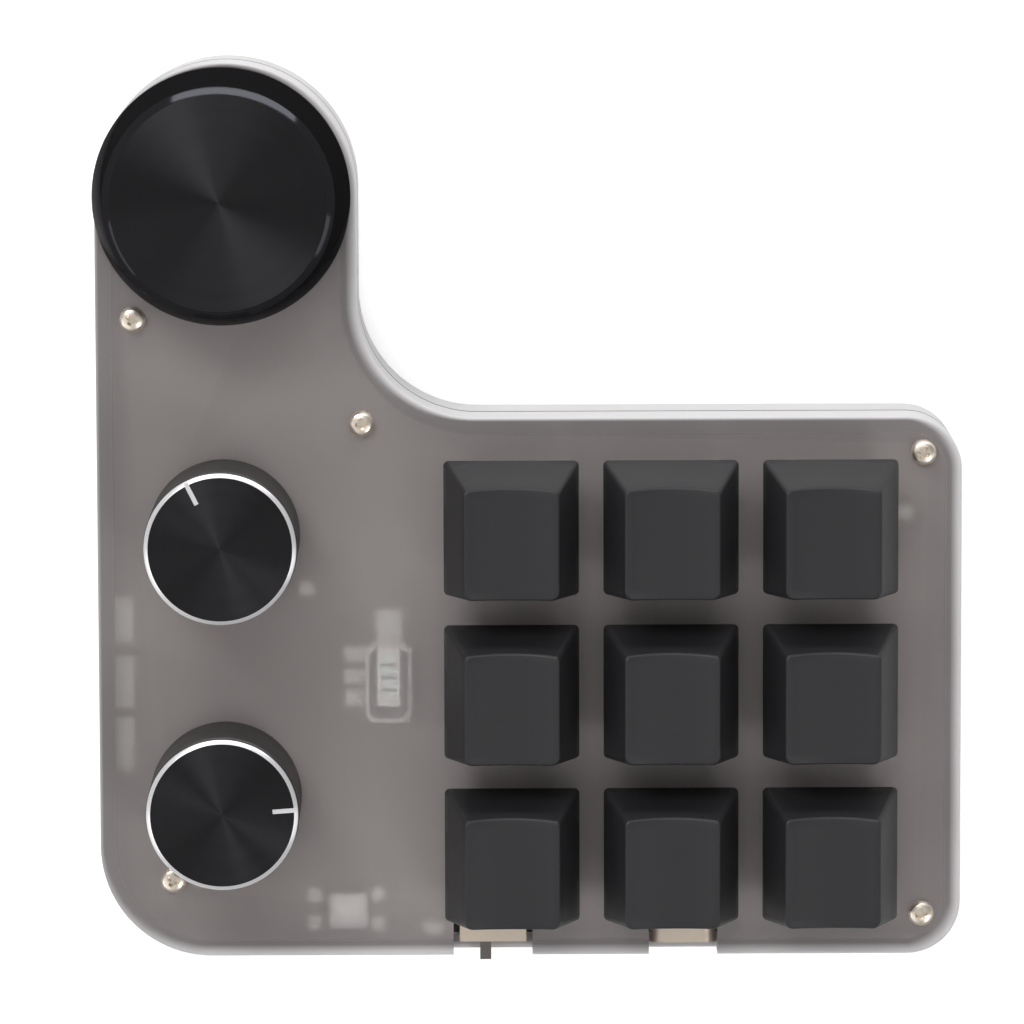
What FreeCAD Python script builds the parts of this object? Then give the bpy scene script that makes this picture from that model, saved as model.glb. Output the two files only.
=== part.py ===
import FreeCAD, Part
import math
import os

# Macro keypad with nine keys and three push knobs. All sizes in millimetres.
# X runs to the right, Y away from the edge with the port, Z up from the desk.

# Outline of the two case shells
body_left = -57.9
body_right = 58.1
body_front = -59.9
body_back = 60.9
shoulder_y = 13.2
neck_x = -22.9
front_left_r = 15.0
small_corner_r = 7.2
concave_r = 16.0

# How far a cut runs past what it cuts, and how far joined shapes run into each other
over = 1.0
join = 0.3

# Number of flats on round pieces
coarse_sides = 8
head_sides = 14
fine_sides = 22
knob_sides = 48

# Heights of the case
foot_proud = 1.5
bottom_shell_h = 8.9
top_shell_h = 7.6
edge_bevel = 0.6
floor_t = 2.0
lid_t = 5.0

# Circuit board
board_t = 1.6
board_inset = 2.2
board_play = 0.15
board_corner_step = 15.0

# Case screws, set in from the corners of the outline
screw_corners = [
    (body_left, body_back), (neck_x, shoulder_y), (body_right, shoulder_y),
    (body_right, body_front), (body_left, body_front),
]
screw_set_in = [(5.0, -34.25), (0.5, -0.65), (-5.2, -4.8), (-5.3, 5.6), (9.8, 10.5)]
screw_head_r = 1.75
screw_head_h = 1.3
screw_shank_r = 0.98
screw_len = 12.0
screw_hole_play = 0.22
thread_play = 0.02
screw_tip_room = 0.5
boss_r = 2.7

# Feet, set in from the corners of the outline
foot_corners = [
    (neck_x, body_back), (body_left, body_front), (body_right, body_front), (body_right, shoulder_y),
]
foot_set_in = [(-17.5, -14.9), (12.9, 15.9), (-11.1, 11.4), (-11.1, -11.2)]
foot_r = 4.0

# Key grid
key_mid_x = 18.9
key_mid_y = -22.95
key_pitch_x = 21.3
key_pitch_y = 22.1
key_rows = 3
key_cols = 3
key_travel = 4.0

# Keycap
cap_base = 18.1
cap_lift = 6.0
cap_h = 9.25
cap_top_x = 12.6
cap_top_y = 14.6
cap_top_shift = -1.3
cap_corner = 0.6
cap_dish = 0.95
cap_spare = 0.5
cap_wall = 1.5
cap_roof = 1.5
cap_post_r = 2.75

# Key switch
switch_body = 13.9
switch_play = 0.05
skin_t = 1.5
switch_pocket = 15.4
flange = 15.6
flange_t = 1.0
dome_base = 14.0
dome_top_x = 10.6
dome_top_y = 9.6
dome_h = 6.6
roof_t = 1.0
window_x = 7.4
window_y = 5.9
slider_x = 6.9
slider_y = 5.2
slider_bottom = 1.2
wing_x = 9.4
wing_y = 4.0
wing_t = 2.4
stop_gap = 0.1
upper_cavity_x = 10.0
upper_cavity_y = 6.6
lower_cavity_x = 11.4
lower_cavity_y = 9.4
lower_floor = 1.2
stem_h = 3.6
stem_long = 4.05
stem_arm = 1.2
stem_play = 0.02
post_r = 1.98
post_len = 3.3
post_play = 0.08
guide_pin_r = 1.0
guide_play = 0.05
guide_gap = 0.1
spring_r = 2.0
spring_wire = 0.4
clip_w = 4.0
clip_out = 0.3
clip_h = 1.7
clip_gap = 0.05
pin_w = 1.2
pin_t = 0.4
pin_len = 3.0
pin_points = [(-3.81, 2.54), (2.54, 5.08)]
socket_t = 1.8
socket_rim = 1.85

# Encoders and knobs
encoder_x = -40.85
big_y = 43.2
middle_y = -2.25
lower_y = -37.75
encoder_body = 11.8
encoder_frame = 12.0
encoder_h = 6.5
frame_t = 0.8
leg_t = 0.6
leg_w = 2.0
leg_below = 3.0
encoder_play = 0.3
bushing_r = 3.5
bushing_h = 5.0
shaft_r = 3.0
shaft_play = 0.05
flat_x = 1.5
shaft_below = 4.7
rotor_r = 4.8
rotor_t = 1.6
rotor_play = 0.3
push_chamber_r = 3.5
push_floor = 0.6
push_travel = 0.5
knob_fit = 0.02

# Small knobs
small_knob_r = 10.2
small_knob_h = 15.5
small_knob_lift = 1.2
small_knob_wall = 1.0
small_knob_top = 1.2
small_chamfer = 0.7
mark_w = 0.75
mark_in = 6.7
mark_depth = 0.25
middle_mark_deg = 116.7
lower_mark_deg = 4.0

# Big knob
big_knob_r = 17.25
big_knob_lift = 1.0
big_knob_h = 12.0
big_rim_h = 1.4
big_waist_r = 15.35
big_chamfer = 1.0
big_chamfer_h = 0.8
big_wall = 3.0
big_top = 1.4

# Knob cores
core_plate_t = 1.6
core_hub_r = 5.6
core_rib_t = 1.2
core_ribs = 4
core_lift = 0.3

# USB socket
usb_x = 20.7
usb_set_in = 1.3
usb_w = 8.94
usb_h = 3.26
usb_len = 6.0
usb_r = 1.5
usb_wall = 0.3
usb_back_wall = 1.0
usb_notch_play = 0.18
tongue_w = 6.7
tongue_t = 0.7
tongue_in = 0.9

# Slide switch
slide_x = -5.0
slide_set_in = 1.6
slide_w = 9.0
slide_d = 3.7
slide_h = 3.6
slide_wall = 0.5
slide_travel = 2.0
lever_w = 1.5
lever_t = 1.4
lever_z = 2.0
lever_out = 2.6
lever_foot_w = 2.8
lever_foot_d = 1.2
lever_play = 0.15
slide_notch_w = 10.7
slide_notch_in = 0.3

# Reset button
reset_x = -24.55
reset_set_in = 5.9
reset_w = 4.5
reset_d = 4.0
reset_h = 1.5
reset_button_r = 0.95
reset_button_h = 1.0
reset_travel = 0.25
reset_play = 0.1
pocket_play = 0.3
reset_pocket_cut = 0.5

# Rooms in the bottom shell, beyond what stands in them
key_room_rim = 8.6
encoder_room_rim = 8.6
cell_room_rim = 1.0

# Board header
header_x = -18.95
header_y = -22.1
header_w = 3.0
header_l = 7.8
header_h = 3.2
header_wall = 0.5
header_floor = 1.0
header_pin = 0.4
header_pin_below = 0.6
header_pins = 4
header_pitch = 1.25
header_pocket_w = 6.2
header_pocket_l = 10.7
header_pocket_shift = -0.75
header_pocket_cut = 0.9
pocket_depth = 3.6
pocket_overlap = 0.5

# Battery and its leads
cell_x = 18.9
cell_y = -22.95
cell_w = 50.0
cell_d = 34.0
cell_t = 4.8
cell_corner = 1.2
lead_r = 0.6
lead_gap = 3.0
lead_bend = 2.2
lead_run = 5.0

# Derived heights
seam_z = foot_proud + bottom_shell_h
plate_z = seam_z + top_shell_h
lid_z = plate_z - lid_t
board_top = lid_z
board_low = board_top - board_t
floor_z = foot_proud + floor_t
encoder_top = board_top + encoder_h

# Derived places
usb_front = body_front + usb_set_in
slide_front = body_front + slide_set_in
reset_y = body_front + reset_set_in

nodes = {}


def vec(x, y, z=0.0):
    return FreeCAD.Vector(x, y, z)


def set_in(corners, moves):
    return [(x + dx, y + dy) for (x, y), (dx, dy) in zip(corners, moves)]


def screw_places():
    return set_in(screw_corners, screw_set_in)


def foot_places():
    return set_in(foot_corners, foot_set_in)


def box(x0, x1, y0, y1, z0, z1):
    return Part.makeBox(x1 - x0, y1 - y0, z1 - z0, vec(x0, y0, z0))


def block(cx, cy, w, d, z0, z1):
    return box(cx - w / 2, cx + w / 2, cy - d / 2, cy + d / 2, z0, z1)


def rod(cx, cy, r, z0, z1):
    return Part.makeCylinder(r, z1 - z0, vec(cx, cy, z0))


def arc(cx, cy, r, a0, a1, z):
    points = []
    for a in (a0, (a0 + a1) / 2, a1):
        t = math.radians(a)
        points.append(vec(cx + r * math.cos(t), cy + r * math.sin(t), z))
    return Part.Arc(points[0], points[1], points[2]).toShape()


def line(x0, y0, x1, y1, z):
    return Part.LineSegment(vec(x0, y0, z), vec(x1, y1, z)).toShape()


def round_wire(cx, cy, w, d, r, z):
    x0, x1 = cx - w / 2, cx + w / 2
    y0, y1 = cy - d / 2, cy + d / 2
    edges = [
        line(x0 + r, y0, x1 - r, y0, z),
        arc(x1 - r, y0 + r, r, -90, 0, z),
        line(x1, y0 + r, x1, y1 - r, z),
        arc(x1 - r, y1 - r, r, 0, 90, z),
        line(x1 - r, y1, x0 + r, y1, z),
        arc(x0 + r, y1 - r, r, 90, 180, z),
        line(x0, y1 - r, x0, y0 + r, z),
        arc(x0 + r, y0 + r, r, 180, 270, z),
    ]
    return Part.Wire(edges)


def corner_points(cx, cy, w, d, cut, z):
    hw, hd = w / 2, d / 2
    if cut == 0:
        return [vec(cx - hw, cy - hd, z), vec(cx + hw, cy - hd, z),
                vec(cx + hw, cy + hd, z), vec(cx - hw, cy + hd, z)]
    corners = [
        (-hw + cut, -hd), (hw - cut, -hd), (hw, -hd + cut), (hw, hd - cut),
        (hw - cut, hd), (-hw + cut, hd), (-hw, hd - cut), (-hw, -hd + cut),
    ]
    return [vec(cx + x, cy + y, z) for x, y in corners]


def corner_cut_block(cx, cy, w, d, cut, z0, z1):
    points = corner_points(cx, cy, w, d, cut, z0)
    return Part.Face(Part.makePolygon(points + [points[0]])).extrude(vec(0, 0, z1 - z0))


def frustum(cx, cy, w, d, z0, z1, top_w, top_d, shift_y, cut):
    low = corner_points(cx, cy, w, d, cut, z0)
    high = corner_points(cx, cy + shift_y, top_w, top_d, cut, z1)
    return solid_from_rings([low, high])


def ring_points(cx, cy, r, z, sides):
    points = []
    for i in range(sides):
        t = 2 * math.pi * (i + 0.5) / sides
        points.append(vec(cx + r * math.cos(t), cy + r * math.sin(t), z))
    return points


def solid_from_rings(rings):
    loops = [rings[0][::-1], rings[-1]]
    for low, high in zip(rings, rings[1:]):
        for i in range(len(low)):
            k = (i + 1) % len(low)
            loops.append([low[i], low[k], high[k], high[i]])
    faces = [Part.Face(Part.makePolygon(loop + [loop[0]])) for loop in loops]
    return Part.Solid(Part.Shell(faces))


def turned(cx, cy, profile, sides):
    return solid_from_rings([ring_points(cx, cy, r, z, sides) for r, z in profile])


def prism(cx, cy, r, z0, z1, sides):
    return turned(cx, cy, [(r, z0), (r, z1)], sides)


def outline(inset, z):
    left = body_left + inset
    right = body_right - inset
    front = body_front + inset
    shoulder = shoulder_y - inset
    neck = neck_x - inset
    fl = front_left_r - inset
    sc = small_corner_r - inset
    cc = concave_r + inset
    lobe = (neck - left) / 2
    lobe_x = (neck + left) / 2
    lobe_y = body_back - inset - lobe
    edges = [
        line(left + fl, front, right - sc, front, z),
        arc(right - sc, front + sc, sc, -90, 0, z),
        line(right, front + sc, right, shoulder - sc, z),
        arc(right - sc, shoulder - sc, sc, 0, 90, z),
        line(right - sc, shoulder, neck + cc, shoulder, z),
        arc(neck + cc, shoulder + cc, cc, -90, -180, z),
        line(neck, shoulder + cc, neck, lobe_y, z),
        arc(lobe_x, lobe_y, lobe, 0, 180, z),
        line(left, lobe_y, left, front + fl, z),
        arc(left + fl, front + fl, fl, 180, 270, z),
    ]
    return Part.Wire(edges)


def slab(inset, z0, z1):
    return Part.Face(outline(inset, z0)).extrude(vec(0, 0, z1 - z0))


def board_slab(inset, z0, z1):
    points = []
    for edge in outline(inset, z0).OrderedEdges:
        steps = 1
        if not isinstance(edge.Curve, Part.Line):
            steps = max(2, round(edge.Length / edge.Curve.Radius / math.radians(board_corner_step)))
        points.extend(edge.discretize(steps + 1)[:-1])
    return Part.Face(Part.makePolygon(points + [points[0]])).extrude(vec(0, 0, z1 - z0))


def rim_edges(shape, z):
    found = []
    for edge in shape.Edges:
        ends = [v.Z for v in edge.Vertexes]
        if min(ends) > z - 1e-6 and max(ends) < z + 1e-6:
            found.append(edge)
    return found


def keys():
    for row in range(key_rows):
        for col in range(key_cols):
            x = key_mid_x + (col - (key_cols - 1) / 2) * key_pitch_x
            y = key_mid_y - (row - (key_rows - 1) / 2) * key_pitch_y
            yield "r%dc%d" % (row + 1, col + 1), x, y


def encoders():
    yield "big", encoder_x, big_y
    yield "middle", encoder_x, middle_y
    yield "lower", encoder_x, lower_y


def add(name, shape):
    nodes[name] = shape


def group(shapes):
    return Part.makeCompound(shapes)


def screw_hole(x, y, play, z0, z1):
    return prism(x, y, screw_shank_r + play, z0, z1, coarse_sides)


def header_pocket():
    cy = header_y + header_pocket_shift
    return corner_cut_block(header_x, cy, header_pocket_w, header_pocket_l,
                            header_pocket_cut, lid_z - pocket_overlap, lid_z + pocket_depth)


def reset_pocket():
    w = reset_w + 2 * pocket_play
    d = reset_d + 2 * pocket_play
    return corner_cut_block(reset_x, reset_y, w, d, reset_pocket_cut,
                            lid_z - pocket_overlap, lid_z + pocket_depth)


def usb_notch(z0, z1):
    half = usb_w / 2 + usb_notch_play
    back = usb_front + usb_len + usb_notch_play
    return box(usb_x - half, usb_x + half, body_front - over, back, z0, z1)


def slide_notch(z0, z1):
    half = slide_notch_w / 2
    back = slide_front + slide_d + slide_notch_in
    return box(slide_x - half, slide_x + half, body_front - over, back, z0, z1)


def make_top_shell():
    shell = slab(0, seam_z, plate_z)
    shell = shell.makeChamfer(edge_bevel, rim_edges(shell, plate_z))
    cuts = [board_slab(board_inset - board_play, seam_z - over, lid_z)]
    for _, x, y in keys():
        hole = switch_body + 2 * switch_play
        cuts.append(block(x, y, hole, hole, lid_z - over, plate_z + over))
        cuts.append(block(x, y, switch_pocket, switch_pocket, lid_z - over, plate_z - skin_t))
    for _, x, y in encoders():
        w = encoder_frame + 2 * (leg_t + encoder_play)
        d = encoder_frame + 2 * encoder_play
        cuts.append(block(x, y, w, d, lid_z - over, plate_z + over))
    for x, y in screw_places():
        cuts.append(screw_hole(x, y, screw_hole_play, lid_z - over, plate_z + over))
    cuts.append(header_pocket())
    cuts.append(reset_pocket())
    cuts.append(usb_notch(board_top, plate_z + over))
    cuts.append(slide_notch(board_top, plate_z + over))
    return shell.cut(cuts)


def make_bottom_shell():
    shell = slab(0, foot_proud, seam_z)
    shell = shell.makeChamfer(edge_bevel, rim_edges(shell, foot_proud))
    key_w = (key_cols - 1) * key_pitch_x + 2 * key_room_rim
    key_d = (key_rows - 1) * key_pitch_y + 2 * key_room_rim
    cell_left = cell_x - cell_w / 2 - lead_run - lead_bend - cell_room_rim
    cell_right = cell_x + cell_w / 2 + cell_room_rim
    cell_half = cell_d / 2 + cell_room_rim
    top = seam_z + over
    shell = shell.cut([
        block(key_mid_x, key_mid_y, key_w, key_d, floor_z, top),
        box(cell_left, cell_right, cell_y - cell_half, cell_y + cell_half, floor_z, top),
        box(encoder_x - encoder_room_rim, encoder_x + encoder_room_rim,
            lower_y - encoder_room_rim, big_y + encoder_room_rim, floor_z, top),
    ])
    posts = [prism(x, y, boss_r, seam_z - over, board_low, coarse_sides) for x, y in screw_places()]
    shell = shell.fuse(posts).removeSplitter()
    low = plate_z - screw_len - screw_tip_room
    return shell.cut([screw_hole(x, y, thread_play, low, board_low + over) for x, y in screw_places()])


def make_board():
    board = board_slab(board_inset, board_low, board_top)
    cuts = []
    for x, y in screw_places():
        cuts.append(screw_hole(x, y, screw_hole_play, board_low - over, board_top + over))
    for _, x, y in keys():
        cuts.append(prism(x, y, post_r + post_play, board_low - over, board_top + over, coarse_sides))
    return board.cut(cuts)


def make_screws():
    screws = []
    for x, y in screw_places():
        head = prism(x, y, screw_head_r, plate_z, plate_z + screw_head_h, head_sides)
        shank = prism(x, y, screw_shank_r, plate_z - screw_len, plate_z, coarse_sides)
        screws.append(head.fuse(shank).removeSplitter())
    return group(screws)


def make_feet():
    feet = []
    for x, y in foot_places():
        feet.append(prism(x, y, foot_r, 0, foot_proud, head_sides))
    return group(feet)


def make_keycap(x, y):
    base = plate_z + cap_lift
    top = base + cap_h
    share = (cap_h + cap_spare) / cap_h
    cap = frustum(x, y, cap_base, cap_base, base, top + cap_spare,
                  cap_base + (cap_top_x - cap_base) * share,
                  cap_base + (cap_top_y - cap_base) * share, cap_top_shift * share, cap_corner)
    half = cap_top_x / 2
    dish_r = (half * half + cap_dish * cap_dish) / (2 * cap_dish)
    centre_z = top - cap_dish + dish_r
    dish = Part.makeCylinder(dish_r, 3 * cap_base, vec(x, y - 1.5 * cap_base, centre_z), vec(0, 1, 0))
    cap = cap.cut(dish)
    roof = top - cap_dish - cap_roof
    share = (roof - base) / cap_h
    in_w = cap_base + (cap_top_x - cap_base) * share - 2 * cap_wall
    in_d = cap_base + (cap_top_y - cap_base) * share - 2 * cap_wall
    in_base = cap_base - 2 * cap_wall
    cap = cap.cut(frustum(x, y, in_base, in_base, base, roof, in_w, in_d,
                          cap_top_shift * share, 0))
    shoulder = plate_z + dome_h
    post = prism(x, y, cap_post_r, shoulder, roof + join, coarse_sides)
    long_side = stem_long + 2 * stem_play
    arm = stem_arm + 2 * stem_play
    socket_top = shoulder + stem_h + 2 * stem_play
    cross = [
        block(x, y, long_side, arm, shoulder - over, socket_top),
        block(x, y, arm, long_side, shoulder - over, socket_top),
    ]
    return cap.fuse(post.cut(cross)).removeSplitter()


def make_stem(x, y):
    shoulder = plate_z + dome_h
    stop = shoulder - roof_t - stop_gap
    low = plate_z + slider_bottom
    pieces = [
        block(x, y, slider_x, slider_y, low, shoulder),
        block(x, y, wing_x, wing_y, stop - wing_t, stop),
        block(x, y, stem_long, stem_arm, shoulder, shoulder + stem_h),
        block(x, y, stem_arm, stem_long, shoulder, shoulder + stem_h),
        prism(x, y, guide_pin_r, board_top + lower_floor + guide_gap, low, coarse_sides),
    ]
    return pieces[0].fuse(pieces[1:]).removeSplitter()


def make_spring(x, y):
    z0 = board_top + lower_floor
    z1 = plate_z + slider_bottom
    bore = prism(x, y, spring_r - spring_wire, z0 - over, z1 + over, coarse_sides)
    return prism(x, y, spring_r, z0, z1, coarse_sides).cut(bore)


def make_upper_housing(x, y):
    low = plate_z + flange_t
    top = plate_z + dome_h
    base = block(x, y, flange, flange, plate_z, low)
    dome = frustum(x, y, dome_base, dome_base, low, top, dome_top_x, dome_top_y, 0, 0)
    cuts = [
        block(x, y, upper_cavity_x, upper_cavity_y, plate_z - over, top - roof_t),
        block(x, y, window_x, window_y, top - roof_t - over, top + over),
    ]
    return base.fuse(dome).cut(cuts)


def make_lower_housing(x, y):
    shell = block(x, y, switch_body, switch_body, board_top, plate_z)
    clip_top = plate_z - skin_t - clip_gap
    for side in (-1, 1):
        cy = y + side * (switch_body + clip_out) / 2
        shell = shell.fuse(block(x, cy, clip_w, clip_out, clip_top - clip_h, clip_top))
    post = prism(x, y, post_r, board_top - post_len, board_top, coarse_sides)
    shell = shell.fuse(post).removeSplitter()
    cuts = [
        block(x, y, lower_cavity_x, lower_cavity_y, board_top + lower_floor, plate_z + over),
        prism(x, y, guide_pin_r + guide_play, board_top + lower_floor - key_travel, plate_z, coarse_sides),
    ]
    return shell.cut(cuts)


def make_pins():
    pins = []
    for _, x, y in keys():
        for px, py in pin_points:
            pins.append(block(x + px, y + py, pin_w, pin_t, board_top - pin_len, board_top))
    return group(pins)


def make_sockets():
    sockets = []
    low = board_low - socket_t
    for _, x, y in keys():
        ends = [block(x + px, y + py, 2 * socket_rim, 2 * socket_rim, low, board_low)
                for px, py in pin_points]
        x0, y0 = pin_points[0]
        x1, y1 = pin_points[1]
        bridge = box(x + x0, x + x1, y + y1 - socket_rim, y + y0 + socket_rim, low, board_low)
        sockets.append(ends[0].fuse([ends[1], bridge]).removeSplitter())
    return group(sockets)


def keyed(piece, x, y, flat, z0, z1, angle):
    piece = piece.cut(box(flat, 2 * shaft_r, -2 * shaft_r, 2 * shaft_r, z0 - over, z1 + over))
    piece.rotate(vec(0, 0, 0), vec(0, 0, 1), angle)
    piece.translate(vec(x, y, 0))
    return piece


def keyed_bore(x, y, play, z0, z1, angle):
    r = (shaft_r + play) / math.cos(math.pi / fine_sides)
    return keyed(prism(0, 0, r, z0, z1, fine_sides), x, y, flat_x + play, z0, z1, angle)


def make_encoder_base(x, y):
    top = encoder_top - frame_t
    ledge = top - rotor_play - rotor_t - 2 * rotor_play
    base = block(x, y, encoder_body, encoder_body, board_top, top)
    cuts = [
        prism(x, y, rotor_r + rotor_play, ledge, top + over, fine_sides),
        prism(x, y, push_chamber_r, board_top + push_floor, ledge + over, coarse_sides),
    ]
    return base.cut(cuts)


def make_encoder_frame(x, y):
    top = encoder_top
    plate = block(x, y, encoder_frame, encoder_frame, top - frame_t, top)
    bushing = prism(x, y, bushing_r, top, top + bushing_h, fine_sides)
    legs = []
    for side in (-1, 1):
        cx = x + side * (encoder_frame + leg_t) / 2
        legs.append(block(cx, y, leg_t, leg_w, board_top - leg_below, top))
    frame = plate.fuse([bushing] + legs).removeSplitter()
    r = (shaft_r + shaft_play) / math.cos(math.pi / fine_sides)
    return frame.cut(prism(x, y, r, top - frame_t - over, top + bushing_h + over, fine_sides))


def make_rotor(x, y, angle):
    top = encoder_top - frame_t - rotor_play
    disc = prism(x, y, rotor_r, top - rotor_t, top, fine_sides)
    return disc.cut(keyed_bore(x, y, shaft_play, top - rotor_t - over, top + over, angle))


def make_shaft(x, y, z1, angle):
    z0 = encoder_top - shaft_below
    return keyed(rod(0, 0, shaft_r, z0, z1), x, y, flat_x, z0, z1, angle)


def make_core(x, y, r, z_low, z_top, angle):
    hub_low = encoder_top + bushing_h + push_travel + core_lift
    hub = prism(x, y, core_hub_r, hub_low, z_top, fine_sides)
    plate = prism(x, y, r, z_top - core_plate_t, z_top, knob_sides)
    ribs = []
    for i in range(core_ribs):
        rib = box(0, r - join, -core_rib_t / 2, core_rib_t / 2, hub_low, z_top)
        rib.rotate(vec(0, 0, 0), vec(0, 0, 1), angle + 360 * (i + 0.5) / core_ribs)
        rib.translate(vec(x, y, 0))
        ribs.append(rib)
    core = hub.fuse([plate] + ribs).removeSplitter()
    return core.cut(keyed_bore(x, y, knob_fit, z_low, z_top + over, angle))


def make_small_knob(x, y, angle):
    low = plate_z + small_knob_lift
    top = low + small_knob_h
    r = small_knob_r
    inner = r - small_knob_wall
    face = r - small_chamfer
    knob = turned(x, y, [(r, low), (r, top - small_chamfer), (face, top)], knob_sides)
    knob = knob.cut(prism(x, y, inner, low - over, top - small_knob_top, knob_sides))
    slot = box(mark_in, r + over, -mark_w / 2, mark_w / 2, top - mark_depth, top + over)
    slot.rotate(vec(0, 0, 0), vec(0, 0, 1), angle)
    slot.translate(vec(x, y, 0))
    return knob.cut(slot)


def make_big_knob(x, y):
    low = plate_z + big_knob_lift
    top = low + big_knob_h
    rim = low + big_rim_h
    waist = top - big_chamfer_h
    inner = big_waist_r - big_wall
    profile = [
        (big_knob_r, low), (big_knob_r, rim), (big_waist_r, waist), (big_waist_r - big_chamfer, top),
    ]
    room = prism(x, y, inner, low - over, top - big_top, knob_sides)
    return turned(x, y, profile, knob_sides).cut(room)


def tube_along_y(cx, cz, w, h, r, y0, y1):
    face = Part.Face(round_wire(0, 0, w, h, r, 0))
    solid = face.extrude(vec(0, 0, y1 - y0))
    solid.rotate(vec(0, 0, 0), vec(1, 0, 0), 90)
    solid.translate(vec(cx, y1, cz))
    return solid


def make_usb():
    cz = board_top + usb_h / 2
    back = usb_front + usb_len
    shell = tube_along_y(usb_x, cz, usb_w, usb_h, usb_r, usb_front, back)
    hollow = tube_along_y(usb_x, cz, usb_w - 2 * usb_wall, usb_h - 2 * usb_wall,
                          usb_r - usb_wall, usb_front - over, back - usb_back_wall)
    add("usb_c_shell", shell.cut(hollow))
    tongue = box(usb_x - tongue_w / 2, usb_x + tongue_w / 2, usb_front + tongue_in,
                 back - usb_back_wall, cz - tongue_t / 2, cz + tongue_t / 2)
    add("usb_c_tongue", tongue)


def make_slide_switch():
    top = board_top + slide_h
    back = slide_front + slide_d
    body = box(slide_x - slide_w / 2, slide_x + slide_w / 2, slide_front, back, board_top, top)
    half = slide_travel / 2
    room = lever_foot_w / 2 + half + lever_play
    inner_back = slide_front + slide_wall + lever_foot_d + 2 * lever_play
    z = board_top + lever_z
    zt = lever_t / 2 + lever_play
    cavity = box(slide_x - room, slide_x + room, slide_front + slide_wall, inner_back, z - zt, z + zt)
    reach = lever_w / 2 + half + lever_play
    slot = box(slide_x - reach, slide_x + reach, slide_front - over, slide_front + slide_wall + join,
               z - zt, z + zt)
    add("slide_switch_body", body.cut([cavity, slot]))
    lx = slide_x - half
    foot_front = slide_front + slide_wall + lever_play
    foot = box(lx - lever_foot_w / 2, lx + lever_foot_w / 2, foot_front, foot_front + lever_foot_d,
               z - lever_t / 2, z + lever_t / 2)
    nub = box(lx - lever_w / 2, lx + lever_w / 2, slide_front - lever_out, foot_front + join,
              z - lever_t / 2, z + lever_t / 2)
    add("slide_switch_lever", foot.fuse(nub).removeSplitter())


def make_reset_button():
    top = board_top + reset_h
    body = block(reset_x, reset_y, reset_w, reset_d, board_top, top)
    hole = prism(reset_x, reset_y, reset_button_r + reset_play, top - reset_button_h, top + over,
                 head_sides)
    add("reset_button_body", body.cut(hole))
    z0 = top - reset_button_h + reset_travel + reset_play
    add("reset_button_plunger", prism(reset_x, reset_y, reset_button_r, z0, z0 + reset_button_h,
                                      head_sides))


def make_header():
    top = board_top + header_h
    body = block(header_x, header_y, header_w, header_l, board_top, top)
    inner = block(header_x, header_y, header_w - 2 * header_wall, header_l - 2 * header_wall,
                  board_top + header_floor, top + over)
    body = body.cut(inner)
    add("header_housing", body)
    pins = []
    for i in range(header_pins):
        y = header_y + (i - (header_pins - 1) / 2) * header_pitch
        pins.append(block(header_x, y, header_pin, header_pin, board_top + header_floor,
                          top - header_pin_below))
    add("header_pins", group(pins))


def lead_ring(centre):
    points = []
    for i in range(coarse_sides + 1):
        t = 2 * math.pi * i / coarse_sides
        points.append(centre + vec(0, lead_r * math.cos(t), lead_r * math.sin(t)))
    return points


def make_battery():
    cell = corner_cut_block(cell_x, cell_y, cell_w, cell_d, cell_corner, floor_z, floor_z + cell_t)
    add("battery_cell", cell)
    leads = []
    x0 = cell_x - cell_w / 2
    z0 = floor_z + cell_t / 2
    for side in (-1, 1):
        y = cell_y + side * lead_gap / 2
        x1 = x0 - lead_run
        points = [vec(x0, y, z0), vec(x1, y, z0), vec(x1 - lead_bend, y, z0 + lead_bend),
                  vec(x1 - lead_bend, y, board_low)]
        ring = Part.makePolygon(lead_ring(points[0]))
        leads.append(Part.makePolygon(points).makePipeShell([ring], True, False, 1))
    add("battery_leads", group(leads))


def main():
    add("top_shell", make_top_shell())
    add("bottom_shell", make_bottom_shell())
    add("circuit_board", make_board())
    add("case_screws", make_screws())
    add("rubber_feet", make_feet())
    uppers = []
    lowers = []
    for tag, x, y in keys():
        add("keycap_" + tag, make_keycap(x, y))
        add("key_stem_" + tag, make_stem(x, y))
        add("key_spring_" + tag, make_spring(x, y))
        uppers.append(make_upper_housing(x, y))
        lowers.append(make_lower_housing(x, y))
    add("switch_upper_housings", group(uppers))
    add("switch_lower_housings", group(lowers))
    add("switch_pins", make_pins())
    add("switch_sockets", make_sockets())
    bases = []
    frames = []
    angles = {"big": 90.0, "middle": middle_mark_deg, "lower": lower_mark_deg}
    for tag, x, y in encoders():
        bases.append(make_encoder_base(x, y))
        frames.append(make_encoder_frame(x, y))
        angle = angles[tag]
        if tag == "big":
            roof = plate_z + big_knob_lift + big_knob_h - big_top
            core_r = big_waist_r - big_wall - knob_fit
            add("big_knob_shell", make_big_knob(x, y))
        else:
            roof = plate_z + small_knob_lift + small_knob_h - small_knob_top
            core_r = small_knob_r - small_knob_wall - knob_fit
            add(tag + "_knob_shell", make_small_knob(x, y, angle))
        add(tag + "_encoder_rotor", make_rotor(x, y, angle))
        add(tag + "_encoder_shaft", make_shaft(x, y, roof - knob_fit, angle))
        add(tag + "_knob_core", make_core(x, y, core_r, plate_z, roof, angle))
    add("encoder_bases", group(bases))
    add("encoder_frames", group(frames))
    make_usb()
    make_slide_switch()
    make_reset_button()
    make_header()
    make_battery()
    os.makedirs("parts", exist_ok=True)
    for name, shape in nodes.items():
        shape.exportStep("parts/" + name + ".step")


main()
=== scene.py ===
import math
import bmesh
import bpy
import numpy as np
from mathutils import Matrix, Vector


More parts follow.
